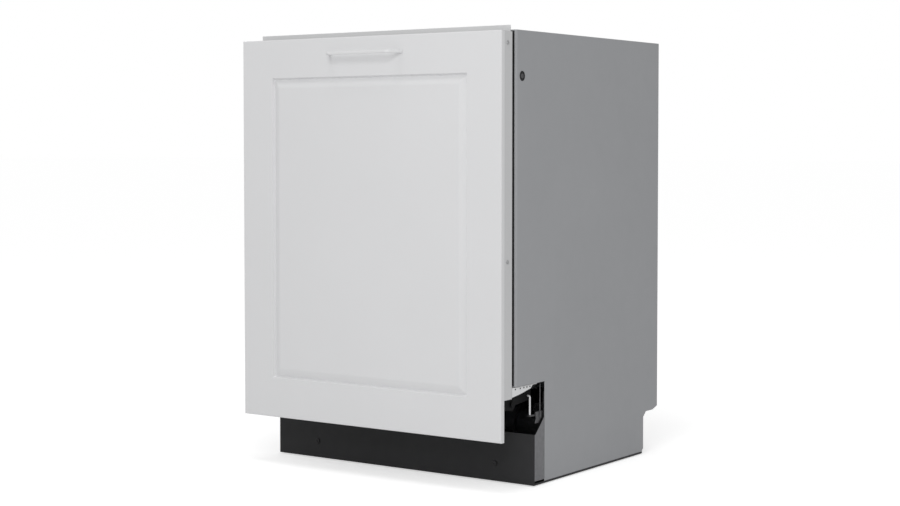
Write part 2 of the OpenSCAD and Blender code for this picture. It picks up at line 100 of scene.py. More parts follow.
def make_floor():
    """A floor that is white to the camera and takes the object's soft shadow."""
    mesh = bpy.data.meshes.new("floor")
    corners = [(x * FLOOR_REACH, y * FLOOR_REACH, 0) for x, y in ((-1, -1), (1, -1), (1, 1), (-1, 1))]
    mesh.from_pydata(corners, [], [(0, 1, 2, 3)])
    floor = bpy.data.objects.new("floor", mesh)
    scene.collection.objects.link(floor)
    material = bpy.data.materials.new("floor")
    material.use_nodes = True
    shader = material.node_tree.nodes["Principled BSDF"]
    shader.inputs["Base Color"].default_value = (0.9, 0.9, 0.9, 1)
    shader.inputs["Roughness"].default_value = 0.9
    shader.inputs["Specular IOR Level"].default_value = 0.0
    shader.inputs["Emission Color"].default_value = (1, 1, 1, 1)
    seen_directly(material.node_tree, 0.0, FLOOR_GLOW, shader.inputs["Emission Strength"])
    mesh.materials.append(material)


def area_light(name, place, target, size, power):
    data = bpy.data.lights.new(name, "AREA")
    data.shape = "RECTANGLE"
    data.size, data.size_y = size
    data.energy = power
    light = bpy.data.objects.new(name, data)
    light.location = place
    light.rotation_euler = (Vector(target) - Vector(place)).to_track_quat("-Z", "Y").to_euler()
    scene.collection.objects.link(light)


def make_light():
    """A white surround that lights the object more softly than it looks, and two soft boxes."""
    world = bpy.data.worlds.new("studio")
    world.use_nodes = True
    background = world.node_tree.nodes["Background"]
    background.inputs["Color"].default_value = (1, 1, 1, 1)
    seen_directly(world.node_tree, SURROUND, 1.0, background.inputs["Strength"])
    scene.world = world
    scene.view_settings.view_transform = "Standard"
    area_light("key", (1.3, -2.7, 1.8), (0.1, 0, 0.45), (1.2, 1.2), KEY_WATTS)
    area_light("top", (0.1, -0.8, 2.7), (0, -0.2, 0.5), (1.0, 0.8), TOP_WATTS)


make_camera()
make_floor()
make_light()


# ---- materials ----

class Shader:
    """A material with short calls to add and join its nodes."""

    def __init__(self, name, **values):
        self.material = bpy.data.materials.new(name)
        self.material.use_nodes = True
        self.tree = self.material.node_tree
        self.bsdf = self.tree.nodes["Principled BSDF"]
        for key, value in values.items():
            self.bsdf.inputs[key.replace("_", " ")].default_value = value
        self.coords = self.tree.nodes.new("ShaderNodeTexCoord").outputs["Object"]

    def add(self, kind, source, socket, **values):
        """A node of one kind, fed by a source, with its other inputs set by name."""
        node = self.tree.nodes.new("ShaderNode" + kind)
        for key, value in values.items():
            node.inputs[key.replace("_", " ")].default_value = value
        self.tree.links.new(source, node.inputs[socket])
        return node

    def noise(self, scale, detail=3.0, stretch=(1, 1, 1), rough=0.5):
        mapping = self.add("Mapping", self.coords, "Vector", Scale=stretch)
        node = self.add("TexNoise", mapping.outputs["Vector"], "Vector", Scale=scale,
                        Detail=detail, Roughness=rough)
        return node.outputs["Fac"]

    def cells(self, scale):
        return self.add("TexVoronoi", self.coords, "Vector", Scale=scale).outputs["Distance"]

    def colours(self, source, colour, factors, start=0.3, end=0.7):
        """The base colour, times the first factor where the source is low and the second above."""
        node = self.add("ValToRGB", source, "Fac")
        steps = zip(node.color_ramp.elements, (start, end), factors)
        for element, position, factor in steps:
            element.position = position
            element.color = (*(min(1.0, c * factor) for c in colour), 1)
        self.tree.links.new(node.outputs["Color"], self.bsdf.inputs["Base Color"])

    def roughness(self, source, low, high):
        """The roughness, from low to high as the source rises."""
        node = self.add("MapRange", source, "Value", From_Min=0.3, From_Max=0.7,
                        To_Min=low, To_Max=high)
        self.tree.links.new(node.outputs["Result"], self.bsdf.inputs["Roughness"])

    def bump(self, source, distance, strength=1.0):
        node = self.add("Bump", source, "Height", Distance=distance, Strength=strength)
        normal = self.bsdf.inputs["Normal"]
        if normal.links:
            self.tree.links.new(normal.links[0].from_socket, node.inputs["Normal"])
        self.tree.links.new(node.outputs["Normal"], normal)


def painted(name, colour, rough=0.4, peel=0.00006, variety=0.03, gloss=0.5):
    """Paint or powder coat: orange peel, faint clouding and uneven gloss."""
    s = Shader(name, Specular_IOR_Level=gloss)
    s.colours(s.noise(5, 4), colour, (1 - variety, 1 + variety))
    s.roughness(s.noise(38, 5), rough - 0.05, rough + 0.06)
    s.bump(s.noise(420, 2), peel, 0.5)
    s.bump(s.noise(12, 2), peel * 6, 0.25)
    return s.material


def brushed(name, colour, rough=0.3, grain=(1, 60, 60), variety=0.04):
    """Brushed sheet steel: fine scratches along one axis over slow clouding."""
    s = Shader(name, Metallic=1.0)
    lines = s.noise(26, 6, stretch=grain, rough=0.7)
    s.colours(lines, colour, (1 - variety, 1 + variety))
    s.roughness(s.noise(20, 5, stretch=grain), rough - 0.03, rough + 0.06)
    s.bump(lines, 0.000008, 0.25)
    return s.material


def moulded(name, colour, rough=0.5, grain=900, depth=0.00003, variety=0.04):
    """Moulded plastic with a fine spark-eroded grain."""
    s = Shader(name)
    s.colours(s.noise(14, 4), colour, (1 - variety, 1 + variety))
    s.roughness(s.noise(60, 4), rough - 0.06, rough + 0.07)
    s.bump(s.cells(grain), depth, 0.6)
    return s.material


def rubber(name, colour):
    """Matt rubber with dusty patches."""
    s = Shader(name)
    s.colours(s.noise(30, 5), colour, (0.8, 1.3))
    s.roughness(s.noise(120, 5), 0.55, 0.75)
    s.bump(s.noise(700, 3), 0.00005, 0.6)
    return s.material


def felt(name, colour):
    """Bitumen felt: coarse fibres over a lumpy mat."""
    s = Shader(name, Roughness=0.95)
    fibres = s.noise(520, 8, rough=0.8)
    s.colours(fibres, colour, (0.55, 1.7))
    s.bump(fibres, 0.0006, 0.9)
    s.bump(s.noise(24, 4), 0.004, 0.4)
    return s.material


def plated(name, colour, rough=0.22):
    """Zinc-plated steel with faint crystals."""
    s = Shader(name, Metallic=1.0)
    s.colours(s.cells(160), colour, (0.94, 1.06), 0.1, 0.9)
    s.roughness(s.noise(90, 4), rough - 0.03, rough + 0.09)
    s.bump(s.noise(300, 4), 0.00001, 0.3)
    return s.material


STEEL = (0.70, 0.71, 0.72)
finishes = {
    "panel_white": (painted, (0.76, 0.762, 0.771), 0.5, 0.00005, 0.008),
    "handle_white": (painted, (0.76, 0.762, 0.768), 0.34, 0.00003, 0.01),
    "door_steel": (painted, (0.64, 0.643, 0.65), 0.45, 0.00004, 0.02),
    "liner_steel": (brushed, STEEL, 0.32),
    "side_steel": (painted, (0.375, 0.382, 0.396), 0.5, 0.00005, 0.02),
    # rail_steel is paler than panel_white: partly its own pale paint, partly a painted lift that offsets the real
    # shade on the top front rail behind the door's top edge so it looks as bright as the panel; every piece in
    # this slot gets the same lift
    "rail_steel": (painted, (0.82, 0.825, 0.83), 0.4, 0.00004, 0.03),
    "tub_steel": (brushed, STEEL, 0.34, (60, 60, 1)),
    "kick_black": (painted, (0.032, 0.032, 0.0335), 0.6, 0.00007, 0.08, 0.25),
    "base_black": (moulded, (0.022, 0.022, 0.024), 0.55),
    "screw_steel": (plated, (0.26, 0.26, 0.27), 0.4),
    "bush_black": (moulded, (0.008, 0.008, 0.009), 0.6),
    "plated_steel": (plated, (0.50, 0.505, 0.51), 0.34),
    "hinge_steel": (plated, (0.14, 0.14, 0.145), 0.4),
    "hinge_black": (painted, (0.005, 0.005, 0.0055), 0.6, 0.00003, 0.1, 0.15),
    "control_black": (moulded, (0.03, 0.03, 0.033), 0.35, 1400, 0.00001),
    "board_green": (moulded, (0.02, 0.12, 0.05), 0.4),
    "display_black": (moulded, (0.006, 0.006, 0.008), 0.12, 2000, 0.000002),
    "button_silver": (painted, (0.50, 0.51, 0.53), 0.32, 0.00002, 0.03),
    "dispenser_grey": (moulded, (0.36, 0.37, 0.38), 0.45),
    "cap_blue": (moulded, (0.05, 0.16, 0.36), 0.4),
    "seal_black": (rubber, (0.018, 0.018, 0.019)),
    "felt_grey": (felt, (0.075, 0.076, 0.08)),
    "pump_grey": (moulded, (0.08, 0.08, 0.085)),
    "white_plastic": (moulded, (0.66, 0.66, 0.65), 0.45),
    "filter_grey": (moulded, (0.30, 0.31, 0.33), 0.45),
    "arm_grey": (moulded, (0.36, 0.37, 0.39), 0.42),
    "rack_coat": (moulded, (0.24, 0.25, 0.27), 0.36, 1500, 0.00001),
    "wheel_grey": (moulded, (0.27, 0.28, 0.30), 0.42),
}
materials = {slot: make(slot, *values) for slot, (make, *values) in finishes.items()}


# ---- making pieces ----

def loose_copy(node):
    """A CAD node's mesh to work on, with the triangles of each flat face joined."""
    build = bmesh.new()
    build.from_mesh(nodes[node].data)
    bmesh.ops.remove_doubles(build, verts=build.verts, dist=1e-6)
    bmesh.ops.dissolve_limit(build, angle_limit=math.radians(0.6), verts=build.verts,
                             edges=build.edges)
    return build


def apply_modifiers(piece):
    bpy.context.view_layer.update()
    done = bpy.data.meshes.new_from_object(
        piece.evaluated_get(bpy.context.evaluated_depsgraph_get()))
    piece.modifiers.clear()
    piece.data = done


def break_edges(piece, width, segments, angle):
    """Rounds a piece's edges, as bending, moulding or deburring leaves them."""
    bevel = piece.modifiers.new("bevel", "BEVEL")
    bevel.width = width * MM
    bevel.segments = segments
    bevel.limit_method = "ANGLE"
    bevel.angle_limit = math.radians(angle)
    apply_modifiers(piece)


def finish_piece(build, name, node, *more_nodes, edge=0, segments=2, angle=35, sharp=35, slot=None):
    """Puts a new piece on its node's body, in its node's finish, in place of the node."""
    slot = slot or slot_of_node[node]
    bmesh.ops.recalc_face_normals(build, faces=build.faces)
    mesh = bpy.data.meshes.new(name)
    build.to_mesh(mesh)
    build.free()
    piece = bpy.data.objects.new(name, mesh)
    scene.collection.objects.link(piece)
    if edge:
        break_edges(piece, edge, segments, angle)
    piece.data.materials.clear()
    piece.data.materials.append(materials[slot])
    for face in piece.data.polygons:
        face.use_smooth = True
    piece.data.set_sharp_from_angle(angle=math.radians(sharp))
    weighted = piece.modifiers.new("flat_faces_stay_flat", "WEIGHTED_NORMAL")
    weighted.keep_sharp = True
    apply_modifiers(piece)
    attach(piece, body_of_node[node])
    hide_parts(node, *more_nodes)


def soften(node, edge, angle=35):
    """A copy of a CAD node with its edges broken, as pressed, folded or moulded edges are."""
    finish_piece(loose_copy(node), "shaped_" + node, node, edge=edge, angle=angle)


# ---- forms ----

def ring(build, points):
    return [build.verts.new(point) for point in points]


def bridge(build, first, second):
    count = len(first)
    for i in range(count):
        j = (i + 1) % count
        build.faces.new((first[i], first[j], second[j], second[i]))


def loft(build, rings, capped=True):
    """Skins a row of rings, with a face over each end where it is capped."""
    for first, second in zip(rings, rings[1:]):
        bridge(build, first, second)
    if capped:
        build.faces.new(rings[0][::-1])
        build.faces.new(rings[-1])


def turn(sides):
    return [2 * math.pi * i / sides for i in range(sides)]


def rounded_rectangle(x0, x1, z0, z1, radius, steps=6):
    """Corner-rounded outline, anticlockwise from the lower left corner."""
    points = []
    centres = [(x0 + radius, z0 + radius, 180), (x1 - radius, z0 + radius, 270),
               (x1 - radius, z1 - radius, 0), (x0 + radius, z1 - radius, 90)]
    for x, z, start in centres:
        points += arc(x, z, radius, start, start + 90, steps)
    return points


def arc(x, y, radius, first, last, steps):
    """Points on an arc in a plane, from one angle to another in degrees."""
    points = []
    for i in range(steps + 1):
        a = math.radians(first + (last - first) * i / steps)
        points.append((x + radius * math.cos(a), y + radius * math.sin(a)))
    return points


def curve(start, corner, end, steps):
    """Points on a smooth curve that leaves start and reaches end in line with the corner."""
    points = []
    for i in range(steps + 1):
        t = i / steps
        points.append(start * (1 - t) ** 2 + corner * 2 * t * (1 - t) + end * t * t)
    return points


def bent(corners, radius, closed=False, steps=4):
    """A route whose corners are rounded off into short curves."""
    corners = [Vector(corner) for corner in corners]
    count = len(corners)
    route = []
    for i, corner in enumerate(corners):
        if not closed and i in (0, count - 1):
            route.append(corner)
            continue
        start = corner + (corners[i - 1] - corner).normalized() * radius
        end = corner + (corners[(i + 1) % count] - corner).normalized() * radius
        route += curve(start, corner, end, steps)
    return route


def circle(centre, u, v, radius, sides):
    return [centre + (u * math.cos(a) + v * math.sin(a)) * radius for a in turn(sides)]


def tube(build, route, radius, sides=8, closed=False):
    """A round wire or pipe along a route."""
    count = len(route)
    rings = []
    across = None
    for i, point in enumerate(route):
        before = route[i - 1] if closed or i else point
        after = route[(i + 1) % count] if closed or i < count - 1 else point
        along = (after - before).normalized()
        if across is None:
            across = along.orthogonal().normalized()
        across = (across - along * across.dot(along)).normalized()
        rings.append(ring(build, circle(point, across, along.cross(across), radius, sides)))
    loft(build, rings + rings[:1] if closed else rings, not closed)


def lathe(build, origin, axis, profile, sides=32):
    """Turns (distance along the axis, radius) points in mm; a zero radius closes an end."""
    axis = Vector(axis).normalized()
    u = axis.orthogonal().normalized()
    v = axis.cross(u)
    rings = []
    for along, radius in profile:
        centre = Vector(origin) + axis * (along * MM)
        around = circle(centre, u, v, radius * MM, sides) if radius else [centre]
        rings.append(ring(build, around))
    for first, second in zip(rings, rings[1:]):
        if len(first) == len(second):
            bridge(build, first, second)
            continue
        rim, (tip,) = sorted((first, second), key=len, reverse=True)
        for i in range(sides):
            build.faces.new((tip, rim[i], rim[(i + 1) % sides]))
    for end in (rings[0], rings[-1]):
        if len(end) > 1:
            build.faces.new(end)


def plate(build, outline, x0, x1):
    """A flat plate that faces sideways, from an outline of (y, z) points in metres."""
    loft(build, [ring(build, [(x, y, z) for y, z in outline]) for x in (x0, x1)])


def slab(build, low, high):
    """A small bar with square ends, later broken at its edges."""
    corners = [(low[0], low[1]), (high[0], low[1]), (high[0], high[1]), (low[0], high[1])]
    loft(build, [ring(build, [(x, y, z) for x, y in corners]) for z in (low[2], high[2])])


def framed(build, low, high, front, stages, steps=6):
    """Rings parallel to the door: each is (inset from a box, depth behind front, radius) in mm."""
    rings = []
    for inset, depth, radius in stages:
        inset *= MM
        outline = rounded_rectangle(low.x + inset, high.x - inset, low.z + inset, high.z - inset,
                                    radius * MM, steps)
        rings.append(ring(build, [(x, front + depth * MM, z) for x, z in outline]))
    return rings


def sweep(build, path, section, up, mitred=True):
    """Sweeps a closed section of (out, up) points along a flat path; up is square to its plane."""
    last = len(path) - 1
    rings = []
    for i, point in enumerate(path):
        before = path[max(i - 1, 0)]
        along = (path[min(i + 1, last)] - before).normalized()
        side = up.cross(along)
        if mitred and 0 < i < last:
            side /= max(0.5, (point - before).normalized().dot(along))
        rings.append(ring(build, [point + side * out + up * above for out, above in section]))
    loft(build, rings)


def make_sheet(name, node, point_at, columns, rows, gauge, sharp):
    """A formed sheet: point_at(u, v) gives (point, outward normal) for u and v from 0 to 1."""
    build = bmesh.new()
    inside, outside = [], []
    for i in range(columns + 1):
        places = [point_at(i / columns, j / rows) for j in range(rows + 1)]
        inside.append(ring(build, [point for point, _ in places]))
        outside.append(ring(build, [point + normal * gauge for point, normal in places]))
    for i in range(columns):
        for j in range(rows):
            build.faces.new((inside[i][j], inside[i][j + 1], inside[i + 1][j + 1], inside[i + 1][j]))
            build.faces.new((outside[i][j], outside[i + 1][j], outside[i + 1][j + 1],
                             outside[i][j + 1]))
    for i in range(columns):
        for j in (0, rows):
            build.faces.new((inside[i][j], inside[i + 1][j], outside[i + 1][j], outside[i][j]))
    for j in range(rows):
        for i in (0, columns):
            build.faces.new((inside[i][j], outside[i][j], outside[i][j + 1], inside[i][j + 1]))
    finish_piece(build, name, node, sharp=sharp)


def rise(value, start, end, ramp):
    """1 between start and end, falling smoothly to 0 over the ramp on both sides."""
    t = min(value - start, end - value) / ramp
    t = max(0.0, min(1.0, t))
    return t * t * (3 - 2 * t)


def arch(low, high, radius, share):
    """A point on an upturned U and its outward normal, how far along its stretch, and which one."""
    side = high.z - radius - low.z
    corner = radius * math.pi / 2
    span = high.x - low.x - 2 * radius
    run = share * (2 * side + 2 * corner + span)

    def on_corner(x, a):
        out = Vector((math.cos(a), 0, math.sin(a)))
        return Vector((x, 0, high.z - radius)) + out * radius, out, 0, "corner"

    if run <= side:
        return Vector((low.x, 0, low.z + run)), Vector((-1, 0, 0)), run / side, "side"
    run -= side
    if run <= corner:
        return on_corner(low.x + radius, math.pi - run / radius)
    run -= corner
    if run <= span:
        return Vector((low.x + radius + run, 0, high.z)), UP, run / span, "top"
    run -= span
    if run <= corner:
        return on_corner(high.x - radius, math.pi / 2 - run / radius)
    run -= corner
    return Vector((high.x, 0, high.z - radius - run)), Vector((1, 0, 0)), 1 - run / side, "side"


# ---- furniture panel ----

def make_panel():
    """The framed panel: a flat frame, a groove with a slanted wall, and a bevelled centre field."""
    low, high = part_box("custom_panel")
    frame_w = 72.0
    sill_extra = 3.0
    edge_r = 2.0
    outer_r = 0.3
    groove_r = 2.0
    profile = [(0.0, (high.y - low.y) / MM, outer_r)]
    profile += [(edge_r + inward, edge_r + depth, outer_r)
                for inward, depth in arc(0, 0, edge_r, 180, 270, 4)]
    groove = [(0, 0), (0.3, 0.1), (0.6, 0.45), (1.0, 1.4), (2.6, 5.0), (3.1, 5.6), (3.8, 5.8),
              (4.8, 5.6), (6.2, 4.9), (8.6, 3.7), (11.4, 2.5), (13.8, 1.7), (15.8, 1.1),
              (17.4, 0.7), (19, 0.48), (20.5, 0.4)]
    profile += [(frame_w + inward, depth, groove_r) for inward, depth in groove]
    build = bmesh.new()
    rings = []
    for inward, depth, radius in profile:
        sill = UP * (sill_extra * MM * min(1.0, inward / frame_w))
        rings += framed(build, low + sill, high, low.y, [(inward, depth, radius)])
    loft(build, rings)
    finish_piece(build, "framed_panel", "custom_panel", sharp=28)


def make_handle():
    """A flat bar on two feet that lean outwards to the panel."""
    low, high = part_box("panel_handle")
    middle = (low.z + high.z) / 2
    depth = 5.2 * MM
    side_room = 1 * MM
    mitre_room = 0.02 * MM
    lean = 13 * MM
    bend = 7 * MM
    foot_x = high.x - depth / 2 - side_room
    knee_x = foot_x - lean
    bar_y = low.y + depth / 2 + mitre_room
    half = [Vector((foot_x, high.y, middle))]
    half += curve(Vector((knee_x + bend / 2, bar_y + bend, middle)), Vector((knee_x, bar_y, middle)),
                  Vector((knee_x - bend, bar_y, middle)), 6)
    path = half + [Vector((-x, y, z)) for x, y, z in reversed(half)]
    tall = (high.z - low.z) / 2
    build = bmesh.new()
    sweep(build, path, rounded_rectangle(-depth / 2, depth / 2, -tall, tall, 1.4 * MM, 3), UP)
    finish_piece(build, "bar_handle", "panel_handle", sharp=40)


# ---- hinges ----

BRACKET_X = 280 * MM
SPRING_X = 286 * MM
SPRING_Z = 140 * MM
ROD_X = 290 * MM
HOOK_X = 293.2 * MM


def make_hinge_brackets():
    """Each bracket: a dark pressed pivot plate inside, and the cabinet's folded lip outside."""
    low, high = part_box("hinge_brackets")
    _, pivot_y, pivot_z = joint_place["door_hinge"]
    lip_gauge = 1.6 * MM
    rivet = [(0.5 * up, 1.5 * out) for up, out in arc(0, 0, 1, 90, 0, 4)]
    for side in SIDES:
        build = bmesh.new()
        outline = [(low.y, high.z), (low.y, high.z - 18 * MM)]
        outline += arc(pivot_y, pivot_z, 10 * MM, 190, 330, 10)
        outline += [(high.y, high.z - 30 * MM), (high.y, high.z)]
        plate(build, outline, side * BRACKET_X, side * (BRACKET_X + 2.4 * MM))
        finish_piece(build, "pivot_plate", "hinge_brackets", edge=0.5, slot="hinge_black")
        build = bmesh.new()
        outline = [(low.y, high.z), (low.y, high.z - 17 * MM), (low.y + 30 * MM, high.z - 13 * MM),
                   (high.y - 22 * MM, high.z - 7 * MM), (high.y - 14 * MM, high.z)]
        plate(build, outline, side * (high.x - lip_gauge), side * high.x)
        inner, outer = sorted((side * BRACKET_X, side * (high.x - 1.0 * MM)))
        slab(build, (inner, low.y, high.z - lip_gauge), (outer, high.y, high.z))
        finish_piece(build, "bracket_lip", "hinge_brackets", edge=0.4)
        build = bmesh.new()
        for along in (10, 26, 38, 48, 58):
            spot = (side * (high.x + 0.2 * MM), low.y + along * MM, high.z - 3.2 * MM)
            lathe(build, spot, (side, 0, 0), rivet, 16)
        finish_piece(build, "bracket_rivets", "hinge_brackets", slot="hinge_black")


def make_coil_spring(side):
    """A counterbalance spring between two straight hooks."""
    coil_r = 6.1 * MM
    front = -138 * MM
    back = 60 * MM
    anchor = 100 * MM
    per_turn = 10
    steps = 58 * per_turn
    straight = [Vector((side * SPRING_X, y, SPRING_Z))
                for y in (front - 8 * MM, front - 2 * MM, back + 2 * MM, anchor)]
    coil = []
    for i in range(steps + 1):
        a = 2 * math.pi * i / per_turn
        coil.append(Vector((side * (SPRING_X + coil_r * math.sin(a)),
                            front + (back - front) * i / steps, SPRING_Z + coil_r * math.cos(a))))
    build = bmesh.new()
    tube(build, straight[:2] + coil + straight[2:], 0.85 * MM, 6)
    finish_piece(build, "coil_spring", "hinge_springs", slot="hinge_black")


def make_hinge_springs():
    """Counterbalance springs, their pull rods and the plates that they hook into."""
    strap_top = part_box("hinge_springs")[1].z
    rod_y = -165 * MM
    for side in SIDES:
        make_coil_spring(side)
        build = bmesh.new()
        rod = [(side * (ROD_X - 5 * MM), rod_y + 1 * MM, 164 * MM), (side * ROD_X, rod_y, 163.2 * MM),
               (side * ROD_X, rod_y, 128 * MM)]
        tube(build, bent(rod, 2.5 * MM), 1.6 * MM, 12)
        finish_piece(build, "pull_rod", "hinge_springs", slot="rail_steel")
        build = bmesh.new()
        hook = [(-154, 134), (-151, 123), (-155, 113), (-143, 113), (-129.5, 123), (-129.5, 134)]
        plate(build, [(y * MM, z * MM) for y, z in hook], side * HOOK_X, side * (HOOK_X + 1.8 * MM))
        inner, outer = sorted((side * (SPRING_X + 1 * MM), side * HOOK_X))
        slab(build, (inner, rod_y - 3 * MM, 126.5 * MM), (outer, -140 * MM, 129.5 * MM))
        finish_piece(build, "hook_plate", "hinge_springs", edge=0.6)
        build = bmesh.new()
        front, back = -141 * MM, -139.6 * MM
        strap = [(front, 122 * MM), (back, 122 * MM), (back, strap_top), (front, strap_top)]
        plate(build, strap, side * (HOOK_X + 2 * MM), side * (HOOK_X + 3.2 * MM))
        finish_piece(build, "upright_strap", "hinge_springs", edge=0.3, slot="screw_steel")


# ---- racks ----

WIRE_R = 1.5 * MM
RIM_R = 2.0 * MM


def make_rack(name, floor_node, walls_node, across, along, rims):
    """A coated wire basket: U-shaped wires both ways, welded under rounded rims."""
    floor_low, floor_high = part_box(floor_node)
    x = floor_high.x - RIM_R
    y0 = floor_low.y + RIM_R
    y1 = floor_high.y - RIM_R
    bottom = floor_low.z + RIM_R
    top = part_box(walls_node)[1].z - RIM_R
    cross_z = bottom + 2 * WIRE_R
    bend = 9 * MM
    corner_room = 14 * MM
    build = bmesh.new()
    for i in range(along):
        place = -x + corner_room + 2 * (x - corner_room) * i / (along - 1)
        wire = [(place, y, z) for y, z in ((y0 + WIRE_R, top), (y0 + WIRE_R, bottom),
                                           (y1 - WIRE_R, bottom), (y1 - WIRE_R, top))]
        tube(build, bent(wire, bend), WIRE_R)
    for i in range(across):
        place = y0 + corner_room + (y1 - y0 - 2 * corner_room) * i / (across - 1)
        wire = [(px, place, z) for px, z in ((-x + WIRE_R, top), (-x + WIRE_R, cross_z),
                                             (x - WIRE_R, cross_z), (x - WIRE_R, top))]
        tube(build, bent(wire, bend), WIRE_R)
    for height in rims:
        z = bottom + (top - bottom) * height
        rim = [(-x, y0, z), (x, y0, z), (x, y1, z), (-x, y1, z)]
        tube(build, bent(rim, 16 * MM, True, 6), RIM_R, 10, True)
    finish_piece(build, name, floor_node, walls_node)


def make_tines():
    """Rows of plate tines: each row is one base wire with a pair of uprights for each plate."""
    low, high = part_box("lower_rack")
    base_z = low.z + 6.5 * MM
    first_x, row_pitch = 2, 60
    first_y, plate_pitch = 42, 34
    tine = [(-5, base_z), (-5, base_z + 8 * MM), (0, high.z - 4 * MM), (6, high.z - WIRE_R),
            (11, high.z - 6 * MM), (9, base_z)]
    for row in range(4):
        x = (first_x + row_pitch * row) * MM
        build = bmesh.new()
        tube(build, [Vector((x, y * MM, base_z)) for y in (first_y - 6, first_y + 180)], WIRE_R)
        for i in range(6):
            y = first_y + plate_pitch * i
            tube(build, bent([(x, (y + forward) * MM, z) for forward, z in tine], 2.5 * MM), 1.3 * MM)
        finish_piece(build, "plate_tines", "lower_rack")


def make_axles():
    """Legs and stub axles that carry the lower rack's wheels."""
    rack_low, rack_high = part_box("lower_rack")
    leg_x = rack_high.x
    foot_z = rack_low.z + 8 * MM
    for name in ("front_wheels_roll", "rear_wheels_roll"):
        _, y, z = joint_place[name]
        for side in SIDES:
            build = bmesh.new()
            outline = arc(y, z, 5 * MM, 180, 360, 8) + [(y + 8 * MM, foot_z), (y - 8 * MM, foot_z)]
            plate(build, outline, side * leg_x, side * (leg_x + 2 * MM))
            finish_piece(build, "axle_leg", "lower_rack_walls", edge=0.4, slot="wheel_grey")
            build = bmesh.new()
            lathe(build, (side * (leg_x + 1.5 * MM), y, z), (side, 0, 0),
                  [(0, 3), (12.4, 3), (12.8, 4.2), (14, 4.2), (14.6, 3.4)], 24)
            finish_piece(build, "stub_axle", "lower_rack_walls", slot="wheel_grey")


def make_wheels(node):
    """Moulded wheels: a rounded tread, a dished web with spokes, and a hub."""
    low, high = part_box(node)
    y = (low.y + high.y) / 2
    z = (low.z + high.z) / 2
    tread = (high.z - low.z) / 2 / MM
    width = 11.0
    bore = 3.1
    face = [(0.5, bore), (0, bore + 0.8), (0, 6), (0.6, 6.6), (3.6, 7.2), (3.6, tread - 4),
            (0.8, tread - 3), (0.8, tread - 1.6), (2.2, tread - 0.3)]
    profile = face + [(width / 2, tread)] + [(width - along, r) for along, r in reversed(face)]
    u = Vector((0, 1, 0))
    for side in SIDES:
        axis = Vector((side, 0, 0))
        v = axis.cross(u)
        inner = Vector((side * (high.x - width * MM), y, z))
        build = bmesh.new()
        rings = [ring(build, circle(inner + axis * (along * MM), u, v, r * MM, 40))
                 for along, r in profile + face[:1]]
        loft(build, rings, False)
        bmesh.ops.remove_doubles(build, verts=build.verts, dist=1e-6)
        for a in turn(6):
            spoke = u * math.cos(a) + v * math.sin(a)
            half = axis.cross(spoke) * (0.9 * MM)
            root = spoke * (6.5 * MM)
            tip = spoke * ((tread - 3.5) * MM)
            corners = (root - half, root + half, tip + half, tip - half)
            loft(build, [ring(build, [inner + axis * (along * MM) + c for c in corners])
                         for along in (1.2, width - 1.2)])
        finish_piece(build, "rack_wheel", node, sharp=30)


def make_runners(walls_node, height, half):
    """The moulded runners on a rack's sides, each with four rollers; their sizes are in mm."""
    low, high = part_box(walls_node)
    rack_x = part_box(walls_node.replace("_walls", ""))[1].x
    z = height * MM
    roller_w = 5.0
    roller_x = high.x - roller_w * MM
    roller = [(0, half * 0.6), (0.2, half * 0.95), (2, half), (4, half * 0.95), (4.6, half * 0.5),
              (roller_w, 0)]
    section = rounded_rectangle(0.2 * MM, roller_x - rack_x, -half * MM, half * MM, 1.4 * MM, 3)
    for side in SIDES:
        build = bmesh.new()
        loft(build, [ring(build, [(side * (rack_x + out), y, z + up) for out, up in section])
                     for y in (low.y + 6 * MM, high.y - 6 * MM)])
        for inset in (18 * MM, 60 * MM):
            for y in (low.y + inset, high.y - inset):
                lathe(build, (side * roller_x, y, z), (side, 0, 0), roller, 24)
        finish_piece(build, "rack_runner", walls_node, slot="wheel_grey")


def make_upper_duct():
    """The water duct under the upper rack and the hub that its spray arm hangs from."""
    low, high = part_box("upper_rack")
    arm_y = joint_place["upper_arm_spin"][1]
    duct_z = low.z + 11.4 * MM
    section = rounded_rectangle(-9 * MM, 9 * MM, -2.4 * MM, 2.4 * MM, 2.2 * MM, 4)
    stations = [(arm_y + along * MM, swell)
                for along, swell in ((-12, 0.5), (-8, 0.9), (0, 1.25), (14, 1.25), (30, 1.0))]
    stations += [(high.y - back * MM, swell)
                 for back, swell in ((30, 1.0), (24, 1.2), (2, 1.2), (0, 1.1))]
    build = bmesh.new()
    loft(build, [ring(build, [(x * swell, y, duct_z + z) for x, z in section])
                 for y, swell in stations])
    lathe(build, (0, arm_y, low.z), UP,
          [(0, 7.5), (0.5, 8.6), (6, 9), (9, 11), (15, 11), (15.8, 10)])
    finish_piece(build, "upper_duct", "upper_rack", slot="filter_grey")


# ---- spray arms ----

